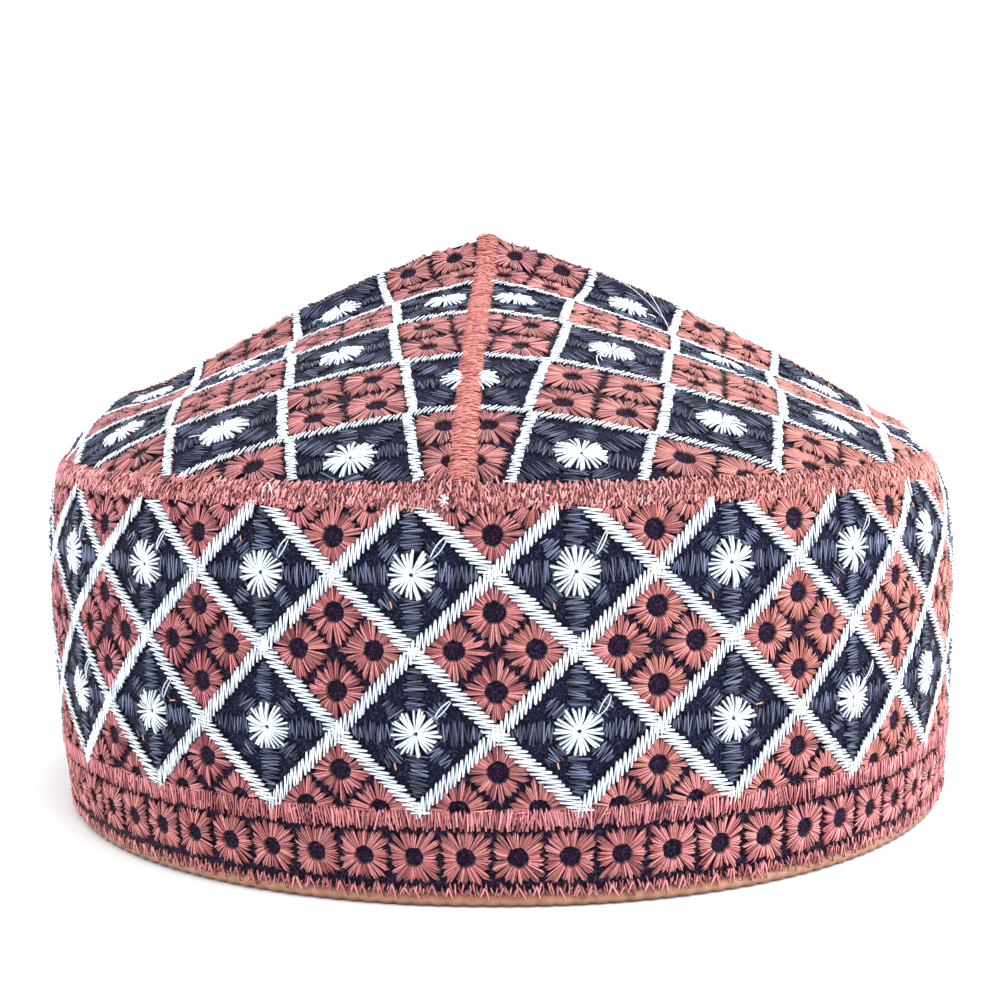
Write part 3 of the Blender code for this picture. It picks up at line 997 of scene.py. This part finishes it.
def make_seam_foot(width):
    """Where the ridge runs into the rim: strokes that fan out, some of them painted dark as the shade of
    gaps between them.
    """
    threads = Threads(53)
    random = threads.random
    count = SEAM_FOOT_STROKES
    across = np.clip(random.normal(0.0, 4.4, count), -8.0, 8.0)
    height = random.uniform(-3.0, 2.4, count)
    lean = 0.05 * across + random.normal(0.0, 0.3, count)
    half = random.uniform(0.6, 1.1, count)
    middle = stack(BAND.round + SEAM_X + across, height)
    stroke = stack(-lean * half, half)
    lift = threads.lifts((0.3, 0.95, 0.95, 0.3), -0.15, 0.3, count)
    # Painted shade: about a fifth of the strokes are made dark as shaded gaps
    dark = random.random(count) < 0.22
    light = np.where(dark, -0.75, random.normal(0.1, 0.2, count))
    radii = threads.radii(width, 0.9, 1.3, count)
    warm = random.uniform(0.0, 0.2, count) * ~dark
    threads.add(CORNER, strokes(middle - stroke, middle + stroke, 0.35), lift, radii, warm, light)
    threads.make("seam_foot", "brick_thread")


def ring_faces(steps, around):
    """Quads of a closed ring: steps sections of around points each."""
    here = np.arange(steps)[:, None] * around
    there = (np.arange(steps)[:, None] + 1) % steps * around
    edge = np.arange(around)
    after = (edge + 1) % around
    return stack(here + edge, here + after, there + after, there + edge).reshape(-1, 4)


def halved(quads):
    """Two triangles for each quad."""
    return np.concatenate((quads[:, (0, 1, 2)], quads[:, (0, 2, 3)]))


def sheet_faces(numbers):
    """Triangles over a grid of point numbers, without those that hold a point twice."""
    quads = stack(numbers[:-1, :-1], numbers[1:, :-1], numbers[1:, 1:], numbers[:-1, 1:])
    triangles = halved(quads.reshape(-1, 4))
    return triangles[(triangles != np.roll(triangles, 1, axis=1)).all(axis=1)]


def make_rim_core():
    """The rounded pad of thread that the rim's satin strokes lie on."""
    steps = 400
    across = BAND.steps(steps)[:, None]
    v = np.linspace(*RIM_PAD, 9)
    from_middle = (2 * v - sum(RIM_PAD)) / (RIM_PAD[1] - RIM_PAD[0])
    bulge = RIM_PAD_BULGE * np.sqrt(np.maximum(0.0, 1 - from_middle**2))
    outer, _ = CORNER.place(*np.broadcast_arrays(across, v, bulge))
    angle = BAND.angle(across)
    inset, drop = np.array(RIM_PAD_INNER).T
    inner = plan(angle, RIM_HALF_WIDTH - rim_lean(angle), inset, rim_height(angle) - drop)
    points = np.concatenate((outer, inner), axis=1)
    faces = ring_faces(steps, points.shape[1])
    piece = add_mesh("rim_core", points, faces, "brick_thread", finish="satin_core")
    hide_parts("crown_seam")


def make_ridge_core():
    """The low cord of thread under the ridge's satin strokes."""
    sections = 240
    along = np.linspace(0.0, RIDGE.length, sections)
    across = np.linspace(-1.0, 1.0, 11) * (RIDGE_HALF_WIDTH + RIDGE_FOOT_EXTRA)
    top = RIDGE.points(*np.broadcast_arrays(across, along[:, None]))
    sunk = RIDGE.centre(along)[:, None] - (0, 0, RIDGE_SINK)
    bottom = sunk + np.array(((RIDGE_HALF_WIDTH, 0, 0), (-RIDGE_HALF_WIDTH, 0, 0)))
    points = np.concatenate((top, bottom), axis=1)
    around = points.shape[1]
    sides = halved(ring_faces(sections, around)[:-around])
    fan = np.arange(1, around - 1)
    cap = stack(0, fan, fan + 1)
    faces = np.concatenate((sides, cap[:, ::-1], cap + (sections - 1) * around))
    piece = add_mesh("ridge_core", points, faces, "brick_thread", finish="satin_core")
    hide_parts("ridge_seam")


def cloth_ripple(u, v):
    """Small uneven puckers, as embroidered cloth has."""
    slow = np.sin(u / 9.1) * np.sin(v / 6.3 + 1.3 * np.sin(u / 23))
    quick = np.sin(u / 2.3 + 0.7) * np.sin(v / 1.9 + np.sin(u / 5.2))
    return 0.06 * slow + 0.05 * quick


def under_brick(u, v):
    """Whether places on the band lie under a brick tile or under the hem."""
    column = (u - FIRST_DIAMOND) / (BAND.round / bpy.context.scene.kufi.diamonds / 2)
    row = np.interp(v, LATTICE_ROWS, range(len(LATTICE_ROWS)))
    parity = np.floor((column + row) / 2) - np.floor((column - row) / 2)
    return (parity % 2 == 0) | (v < HEM_LINE_TOP)


def make_band_cloth():
    steps, rows, inner_rows = 600, 36, 5
    across = BAND.steps(steps)[:, None]
    angle = BAND.angle(across)
    foot = BINDING_HEIGHT + GAP
    rise = rim_height(angle) - GAP - foot
    outer = foot + rise * np.linspace(0.0, 1.0, rows)
    inner = foot + rise * np.linspace(1.0, 0.0, inner_rows)
    outside, _ = BAND.place(np.broadcast_to(across, outer.shape), outer, cloth_ripple(across, outer))
    inside = plan(angle, band_half_width(angle, inner), WALL, inner)
    # The tone marks the cloth under brick tiles and the hem, where the finish paints red bounce light
    brick = np.concatenate((under_brick(across, outer), np.zeros(inner.shape)), axis=1)
    points = np.concatenate((outside, inside), axis=1)
    faces = ring_faces(steps, rows + inner_rows)
    piece = add_mesh("band_cloth", points, faces, "black_cloth", stack(brick, brick, brick, 1.0))
    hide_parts("side_band")


def make_crown_cloth(name, face, node):
    """One half of the crown as a closed shell."""
    rings, meridians = 54, 132
    share = np.linspace(0.0, 1.0, meridians + 1)
    angle = face.angle(share)
    rho = (1 - (1 - np.arange(1, rings + 1) / rings) ** 1.2)[:, None]
    normal = crown_normals(np.minimum(rho, 0.985), angle)
    u, v = face.flat(rho[:, 0], share)
    ripple = cloth_ripple(u, v) * np.clip((1 - rho) * 12, 0.0, 1.0)
    outer = crown_face(rho, angle) + ripple[..., None] * normal
    # The tone marks the cloth under brick tiles, where the finish paints red bounce light
    brick = (np.floor(u / CROWN_TILE) + np.floor((v - CROWN_FIRST_ROW) / CROWN_TILE)) % 2 == 0
    inner = crown_face(rho, angle) - WALL * normal
    inner[..., 2] = np.maximum(inner[..., 2], rim_height(angle))
    inner[-1] = plan(angle, RIM_HALF_WIDTH - rim_lean(angle), WALL, rim_height(angle))
    apex = crown_face(np.zeros(1), 0.0)
    points = np.concatenate((apex, apex - (0, 0, WALL), outer.reshape(-1, 3), inner.reshape(-1, 3)))
    edge = SEAM_X + face.side * GAP / 2
    points[:, 0] = face.side * np.maximum(face.side * points[:, 0], face.side * edge)
    # Point 0 is the outer apex and 1 the inner one, each the first row of its shell
    numbers = 2 + np.arange(2 * brick.size).reshape(2, *brick.shape)
    outside, inside = (
        np.concatenate((np.full((1, meridians + 1), tip), shell)) for tip, shell in enumerate(numbers)
    )
    folded = sheet_faces(np.concatenate((outside, inside[::-1])))
    front = sheet_faces(stack(inside[:, 0], outside[:, 0]))
    back = sheet_faces(stack(outside[:, -1], inside[:, -1]))
    faces = np.concatenate((folded, front, back))[:, :: face.side]
    brick = np.concatenate((np.zeros(2), brick.ravel(), np.zeros(brick.size)))
    piece = add_mesh(name, points, faces, "black_cloth", stack(brick, brick, brick, 1.0))
    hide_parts(node)


def make_binding():
    """The tan strip under the band, swelling between the stitches that hold it."""
    per_swell = 6
    steps = bpy.context.scene.kufi.whip_stitches * per_swell
    angle = BAND.angle(BAND.steps(steps))[:, None]
    swell = np.abs(np.sin(np.arange(steps) / per_swell * math.pi + 0.4))[:, None] ** 0.7
    inset, high = np.array(BINDING_OUTLINE).T
    puff = swell * BINDING_PUFF * ((inset < 0.3) & (high > 0.05))
    pinch = (1 - swell) * BINDING_PINCH * np.maximum(0.0, 0.4 - inset) / 0.4 * (high < 0.3)
    points = plan(angle, FOOT_HALF_WIDTH, inset * BINDING_WIDTH - puff, high * BINDING_HEIGHT + pinch)
    piece = add_mesh("binding", points, ring_faces(steps, len(BINDING_OUTLINE)), "tan_binding")
    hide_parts("rim_edge")


class Wire:
    """An output of a node. Sums, differences and products with numbers or wires add Math nodes."""

    def __init__(self, finish, socket):
        self.finish, self.socket = finish, socket

    def beside(self, output):
        """Another output of the same node."""
        return Wire(self.finish, self.socket.node.outputs[output])

    def maths(self, operation, first, second):
        return self.finish.node("ShaderNodeMath", {"operation": operation}, {0: first, 1: second})

    def __add__(self, other):
        return self.maths("ADD", self, other)

    def __sub__(self, other):
        return self.maths("SUBTRACT", self, other)

    def __mul__(self, other):
        return self.maths("MULTIPLY", self, other)


class Finish:
    """A material as it is wired: node() adds any node, feed() joins wires to the shader."""

    def __init__(self, name, roughness, **fixed):
        self.material = bpy.data.materials.new(name)
        self.material.use_nodes = True
        self.tree = self.material.node_tree
        self.shader = self.tree.nodes["Principled BSDF"]
        self.feed(Roughness=roughness, **fixed)

    def set_sockets(self, node, values):
        for key, value in values.items():
            if isinstance(value, Wire):
                self.tree.links.new(value.socket, node.inputs[key])
            else:
                node.inputs[key].default_value = value

    def node(self, kind, settings=None, sockets=None, output=0):
        node = self.tree.nodes.new(kind)
        for key, value in (settings or {}).items():
            setattr(node, key, value)
        self.set_sockets(node, sockets or {})
        return Wire(self, node.outputs[output])

    def ramp(self, value, *stops):
        """A colour ramp over value, from stops of a position and a colour."""
        colour = self.node("ShaderNodeValToRGB", None, {0: value})
        elements = colour.socket.node.color_ramp.elements
        while len(elements) < len(stops):
            elements.new(0.5)
        for element, (position, shade) in zip(elements, stops):
            element.position = position
            element.color = shade
        return colour

    def mix(self, factor, first, second, blend="MIX"):
        """A colour between two colours."""
        settings = {"data_type": "RGBA", "blend_type": blend}
        return self.node("ShaderNodeMix", settings, {0: factor, 6: first, 7: second}, 2)

    def noise(self, scale, detail, roughness, vector=None):
        sockets = {"Scale": scale, "Detail": detail, "Roughness": roughness}
        sockets["Vector"] = vector or self.place()
        return self.node("ShaderNodeTexNoise", None, sockets)

    def place(self):
        return self.node("ShaderNodeTexCoord", None, None, "Object")

    def tone(self, output):
        """What the mesh says of its stitches or its cloth at each point."""
        return self.node("ShaderNodeAttribute", {"attribute_name": "tone"}, None, output)

    def feed(self, **values):
        self.set_sockets(self.shader, {word.replace("_", " "): value for word, value in values.items()})

    def bump(self, height, strength, distance):
        sockets = {"Strength": strength, "Distance": distance, "Height": height}
        return self.node("ShaderNodeBump", None, sockets)


def linear(red, green, blue):
    """A colour given in screen values from 0 to 255, as the shader wants it."""
    channels = []
    for value in (red, green, blue):
        value /= 255
        channels.append(value / 12.92 if value <= 0.04045 else ((value + 0.055) / 1.055) ** 2.4)
    return (*channels, 1.0)


def shaded(colour, share=1.0):
    """A colour that the settings give, made darker or lighter."""
    return (*(share * channel for channel in colour), 1.0)


def thread_finish(name, colours, roughness, sheen, contrast):
    """Shiny twisted thread: each stitch has its own shade, with painted shade down its sides and at its tips
    and a painted highlight along its top.
    """
    finish = Finish(name, roughness, Sheen_Weight=sheen, Sheen_Roughness=0.3, Specular_IOR_Level=0.35)
    finish.feed(Sheen_Tint=(0.75, 0.88, 1.0, 1.0))
    shade = finish.node("ShaderNodeSeparateColor", None, {0: finish.tone("Color")})
    fibre = finish.noise(2600.0, 2.0, 0.6)
    value = (shade - 0.5) * contrast + shade.beside(1) * 0.85 + fibre * 0.6 - 0.36
    # The ramp's dark end is mostly painted shade on the threads' sides and tips, and its bright end mostly a
    # painted highlight along their tops
    colour = finish.ramp(value, *zip((0.0, 0.5, 1.0), colours))
    finish.feed(Base_Color=colour, Normal=finish.bump(fibre, 0.6, 0.1 * MM))
    return finish, colour


def brick_finish(settings):
    """Brick thread, more orange by the tone's alpha, and greyed by its blue with a painted bluish sheen."""
    # Painted shade for the sides, the thread's own colour, painted highlight for the tops
    colours = (0.07, 0.006, 0.012, 1.0), shaded(settings.brick_colour), (0.75, 0.31, 0.325, 1.0)
    finish, colour = thread_finish("brick_stitches", colours, 0.45, 0.16, 0.7)
    warmer = finish.mix((finish.tone("Alpha") - 0.5) * 2.0, colour, (0.72, 0.31, 0.19, 1.0))
    # Painted sheen: a bluish grey mixed in by the tone's blue, standing in for glancing light on the threads
    painted_sheen_share = finish.node("ShaderNodeSeparateColor", None, {0: finish.tone("Color")}, 2)
    finish.feed(Base_Color=finish.mix(painted_sheen_share, warmer, (0.11, 0.25, 0.35, 1.0)))
    return finish.material


def white_finish(settings):
    # Painted shade for the sides, the thread's own colour, painted highlight for the tops
    colours = linear(120, 130, 150), shaded(settings.white_colour), (0.93, 0.94, 0.96, 1.0)
    return thread_finish("white_stitches", colours, 0.45, 0.0, 0.5)[0].material


def slate_finish(settings):
    # Painted shade for the sides, the thread's own colour, painted highlight for the tops
    colours = (0.008, 0.009, 0.022, 1.0), shaded(settings.slate_colour), (0.18, 0.205, 0.34, 1.0)
    return thread_finish("slate_stitches", colours, 0.4, 0.12, 0.9)[0].material


def cloth_finish(settings):
    """Blue-black plain weave, a little fuzzy and specked."""
    finish = Finish("ground_cloth", 0.95, Specular_IOR_Level=0.06, Sheen_Weight=0.3, Sheen_Roughness=0.25)
    sockets = {"Vector": finish.place(), "Scale": 3000.0}
    weave = finish.node("ShaderNodeTexVoronoi", {"feature": "F1"}, sockets)
    value = weave * 0.4 + finish.noise(2400.0, 4.0, 0.7) * 0.8
    base = settings.cloth_colour
    colour = finish.ramp(value, (0.45, shaded(base, 0.4)), (0.62, shaded(base)), (0.85, shaded(base, 5)))
    # Painted light: red light bounced from the brick stitches, multiplied into the cloth between them
    painted_red_bounce = finish.mix(finish.tone("Fac") * 0.38, colour, (2.1, 0.38, 0.5, 1.0), "MULTIPLY")
    finish.feed(Base_Color=painted_red_bounce, Normal=finish.bump(value, 0.7, 0.2 * MM))
    return finish.material


def binding_finish(settings):
    """Smooth tan strip with faint grain, and a painted contact shadow darkening its lower edge."""
    finish = Finish("tan_strip", 0.5, Coat_Weight=0.08, Coat_Roughness=0.35)
    grain = finish.noise(420.0, 5.0, 0.6)
    fine = finish.noise(2400.0, 3.0, 0.6)
    base = settings.binding_colour
    colour = finish.ramp(grain * 0.7 + fine * 0.3, (0.3, shaded(base, 0.62)), (0.7, shaded(base, 1.25)))
    # Painted shadow: dark brown over the lowest millimetre of the strip, where it meets the floor
    height = finish.node("ShaderNodeSeparateXYZ", None, {0: finish.place()}, 2)
    edge = finish.node("ShaderNodeMapRange", None, {0: height, 1: 0.2 * MM, 2: 1.1 * MM, 3: 1.0, 4: 0.0})
    painted_contact_shadow = finish.mix(edge, colour, (0.05, 0.018, 0.02, 1.0))
    finish.feed(Base_Color=painted_contact_shadow, Normal=finish.bump(fine, 0.4, 0.1 * MM))
    return finish.material


def core_finish(settings):
    """The layer of thread under the satin strokes."""
    finish = Finish("satin_core", 0.6)
    sockets = {0: finish.place(), 1: (1.0, 1.0, 0.35)}
    stretched = finish.node("ShaderNodeVectorMath", {"operation": "MULTIPLY"}, sockets)
    strands = finish.noise(2600.0, 3.0, 0.6, stretched)
    colour = finish.ramp(strands, (0.35, linear(70, 24, 28)), (0.7, linear(165, 90, 88)))
    finish.feed(Base_Color=colour, Normal=finish.bump(strands, 0.6, 0.2 * MM))
    return finish.material


FINISHED = {}
FINISHES = {
    "black_cloth": cloth_finish,
    "brick_thread": brick_finish,
    "white_thread": white_finish,
    "slate_thread": slate_finish,
    "tan_binding": binding_finish,
    "satin_core": core_finish,
}


def material_for(name):
    """A finish by its name, made on first use."""
    if name not in FINISHED:
        FINISHED[name] = FINISHES[name](bpy.context.scene.kufi)
    return FINISHED[name]


class KufiSettings(bpy.types.PropertyGroup):
    """Sizes and colours that a user would change."""

    diamonds: bpy.props.IntProperty(
        name="Diamonds", description="Diamonds in one row round the band", default=22, min=8
    )
    hem_rosettes: bpy.props.IntProperty(
        name="Hem rosettes", description="Rosettes round the foot of the band", default=67, min=20
    )
    whip_stitches: bpy.props.IntProperty(
        name="Whip stitches", description="Pairs of stitches that hold the binding", default=190, min=40
    )
    brick_width: bpy.props.FloatProperty(
        name="Brick thread", description="Width of the brick thread", default=0.4 * MM, unit="LENGTH",
        precision=5,
    )
    white_width: bpy.props.FloatProperty(
        name="White thread", description="Width of the white thread", default=0.4 * MM, unit="LENGTH",
        precision=5,
    )
    brick_colour: bpy.props.FloatVectorProperty(
        name="Brick", description="Colour of the brick thread", default=(0.33, 0.074, 0.085), subtype="COLOR"
    )
    white_colour: bpy.props.FloatVectorProperty(
        name="White", description="Colour of the white thread", default=(0.67, 0.72, 0.79), subtype="COLOR"
    )
    slate_colour: bpy.props.FloatVectorProperty(
        name="Slate", description="Colour of the leaves", default=(0.033, 0.036, 0.078), subtype="COLOR"
    )
    cloth_colour: bpy.props.FloatVectorProperty(
        name="Cloth", description="Colour of the ground cloth", default=(0.0078, 0.0075, 0.019),
        subtype="COLOR",
    )
    binding_colour: bpy.props.FloatVectorProperty(
        name="Binding", description="Colour of the binding", default=(0.31, 0.132, 0.07), subtype="COLOR"
    )
    key_power: bpy.props.FloatProperty(
        name="Key light", description="Power of the soft key light", default=4.0, unit="POWER"
    )


class KUFI_OT_ground_cloth(bpy.types.Operator):
    """Lay the black cloth of the band and the two crown panels"""

    bl_idname = "kufi.ground_cloth"
    bl_label = "Ground cloth"

    def execute(self, context):
        make_band_cloth()
        for side, face in PANELS.items():
            make_crown_cloth(f"crown_cloth_{side}", face, f"crown_{side}")
        return {"FINISHED"}


class KUFI_OT_band_stitches(bpy.types.Operator):
    """Sew the band's rosettes, leaves, daisies and white zigzag lines"""

    bl_idname = "kufi.band_stitches"
    bl_label = "Band stitches"

    def execute(self, context):
        make_band_rosettes("band_rosettes_middle", (2,))
        make_band_rosettes("band_rosettes_edges", (0, 4))
        make_leaves("band_leaves", 12, BAND, band_hearts(), 0.0, BAND_LEAVES, -0.06)
        make_band_daisies()
        make_band_lattice(context.scene.kufi.white_width / 2 / MM)
        return {"FINISHED"}


class KUFI_OT_hem_stitches(bpy.types.Operator):
    """Sew the hem's rosettes, its satin line and the stitches over the binding"""

    bl_idname = "kufi.hem_stitches"
    bl_label = "Hem stitches"

    def execute(self, context):
        width = context.scene.kufi.brick_width / 2 / MM
        make_hem_rosettes()
        make_hem_line(width)
        make_whip_stitches(width)
        return {"FINISHED"}


class KUFI_OT_crown_stitches(bpy.types.Operator):
    """Sew the crown's rosettes, leaves, daisies and white lines"""

    bl_idname = "kufi.crown_stitches"
    bl_label = "Crown stitches"

    def execute(self, context):
        width = context.scene.kufi.white_width / 2 / MM
        for side, face in PANELS.items():
            make_crown_rosettes(side, face)
            hearts, keep = crown_tiles(False), partial(face.inside, margin=1.5)
            name = f"crown_leaves_{side}"
            # The crown's leaves are painted darker than the band's, as shade against the stronger light on
            # the crown
            make_leaves(name, face.seed + 2, face, hearts, TURN / 8, CROWN_LEAVES, -0.2, keep)
            make_crown_daisies(side, face)
            make_crown_lattice(side, face, width)
            make_crest_line(side, face, width)
        return {"FINISHED"}


class KUFI_OT_satin_seams(bpy.types.Operator):
    """Cover the rim's and the ridge's cores with satin strokes"""

    bl_idname = "kufi.satin_seams"
    bl_label = "Satin seams"

    def execute(self, context):
        width = context.scene.kufi.brick_width / 2 / MM
        make_rim_core()
        make_ridge_core()
        make_rim_satin(width)
        make_ridge_satin(width)
        make_seam_foot(width)
        return {"FINISHED"}


class KUFI_OT_loose_threads(bpy.types.Operator):
    """Leave the loose white threads and the short orange ends"""

    bl_idname = "kufi.loose_threads"
    bl_label = "Loose threads"

    def execute(self, context):
        make_loose_threads()
        make_bits(context.scene.kufi.brick_width / 2 / MM)
        return {"FINISHED"}


class KUFI_OT_binding(bpy.types.Operator):
    """Bind the bottom edge with the tan strip"""

    bl_idname = "kufi.binding"
    bl_label = "Binding"

    def execute(self, context):
        make_binding()
        return {"FINISHED"}


# The stage, in metres and radians
FLOOR_HALF_WIDTH = 6.0
WORLD_STRENGTH = 1.08
# Lamps: share of the key light's power, width, place, height of the aim, and colour
LAMPS = {
    "key": (1.0, 0.5, (0.25, -0.75, 0.75), 0.05, (1.0, 1.0, 1.0)),
    "top": (1.7, 0.6, (0.3, -0.15, 1.0), 0.1, (1.0, 1.0, 1.0)),
    "right": (2.8, 0.6, (0.9, -0.3, 0.15), 0.05, (0.9, 0.98, 1.0)),
    "left": (1.6, 0.6, (-0.85, -0.35, 0.15), 0.05, (0.85, 0.97, 1.0)),
}
# Camera: its distance from the cap's axis, height, swing round to the right, and aim
CAMERA_DISTANCE = 0.35607
CAMERA_HEIGHT = 0.09454
CAMERA_SWING = 0.0444
CAMERA_PITCH = 0.09687
CAMERA_ROLL = -0.02343
CAMERA_LENS = 58.5
SENSOR = 36.0


def add_object(name, data):
    thing = bpy.data.objects.new(name, data)
    bpy.context.scene.collection.objects.link(thing)
    return thing


def soft_light(name, power, size, place, aim_height, colour):
    lamp = bpy.data.lights.new(name, "AREA")
    lamp.color = colour
    lamp.shape = "DISK"
    lamp.size = size
    lamp.energy = power
    light = add_object(name, lamp)
    light.location = place
    aim = Vector((0.0, 0.0, aim_height))
    light.rotation_euler = (aim - Vector(place)).to_track_quat("-Z", "Y").to_euler()


def make_camera():
    data = bpy.data.cameras.new("camera")
    data.lens = CAMERA_LENS
    data.sensor_width = SENSOR
    data.clip_start = 0.01
    data.clip_end = 50.0
    camera = add_object("camera", data)
    swing = Matrix.Rotation(CAMERA_SWING, 4, "Z")
    tilt = Matrix.Rotation(math.pi / 2 - CAMERA_PITCH, 4, "X")
    roll = Matrix.Rotation(CAMERA_ROLL, 4, "Z")
    place = Matrix.Translation((0.0, -CAMERA_DISTANCE, CAMERA_HEIGHT))
    camera.matrix_world = swing @ place @ tilt @ roll
    bpy.context.scene.camera = camera


class KUFI_OT_stage(bpy.types.Operator):
    """Set the white floor, the soft lights and the camera"""

    bl_idname = "kufi.stage"
    bl_label = "Stage"

    def execute(self, context):
        scene = context.scene
        finish = Finish("floor_white", 0.8)
        finish.feed(Base_Color=(0.93, 0.93, 0.93, 1.0))
        mesh = bpy.data.meshes.new("floor")
        corners = np.array(((-1, -1, 0), (1, -1, 0), (1, 1, 0), (-1, 1, 0))) * FLOOR_HALF_WIDTH
        mesh.from_pydata(corners, [], [(0, 1, 2, 3)])
        mesh.materials.append(finish.material)
        floor = add_object("floor", mesh)
        floor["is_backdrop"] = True
        scene.world = bpy.data.worlds.new("studio")
        scene.world.use_nodes = True
        background = scene.world.node_tree.nodes["Background"]
        background.inputs["Color"].default_value = (1.0, 1.0, 1.0, 1.0)
        background.inputs["Strength"].default_value = WORLD_STRENGTH
        for name, (share, *lamp) in LAMPS.items():
            soft_light(name, share * scene.kufi.key_power, *lamp)
        make_camera()
        scene.view_settings.view_transform = "Standard"
        return {"FINISHED"}


class KUFI_PT_panel(bpy.types.Panel):
    """The cap's making in order, and its sizes and colours"""

    bl_idname = "KUFI_PT_panel"
    bl_label = "Embroidered kufi"
    bl_space_type = "VIEW_3D"
    bl_region_type = "UI"
    bl_category = "Kufi"

    def draw(self, context):
        for operator in OPERATORS:
            self.layout.operator(operator.bl_idname)
        for name in KufiSettings.__annotations__:
            self.layout.prop(context.scene.kufi, name)


OPERATORS = (
    KUFI_OT_ground_cloth,
    KUFI_OT_band_stitches,
    KUFI_OT_hem_stitches,
    KUFI_OT_crown_stitches,
    KUFI_OT_satin_seams,
    KUFI_OT_loose_threads,
    KUFI_OT_binding,
    KUFI_OT_stage,
)
CLASSES = (KufiSettings, *OPERATORS, KUFI_PT_panel)


def register():
    for entry in CLASSES:
        bpy.utils.register_class(entry)
    bpy.types.Scene.kufi = bpy.props.PointerProperty(type=KufiSettings)


def unregister():
    del bpy.types.Scene.kufi
    for entry in reversed(CLASSES):
        bpy.utils.unregister_class(entry)


def main():
    register()
    bpy.ops.kufi.ground_cloth()
    bpy.ops.kufi.band_stitches()
    bpy.ops.kufi.hem_stitches()
    bpy.ops.kufi.crown_stitches()
    bpy.ops.kufi.satin_seams()
    bpy.ops.kufi.loose_threads()
    bpy.ops.kufi.binding()
    bpy.ops.kufi.stage()
    boxes = {"cad": CAD_BOX, "visual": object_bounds()}
    plain = {name: [[float(value) for value in corner] for corner in box] for name, box in boxes.items()}


if __name__ == "__main__":
    main()
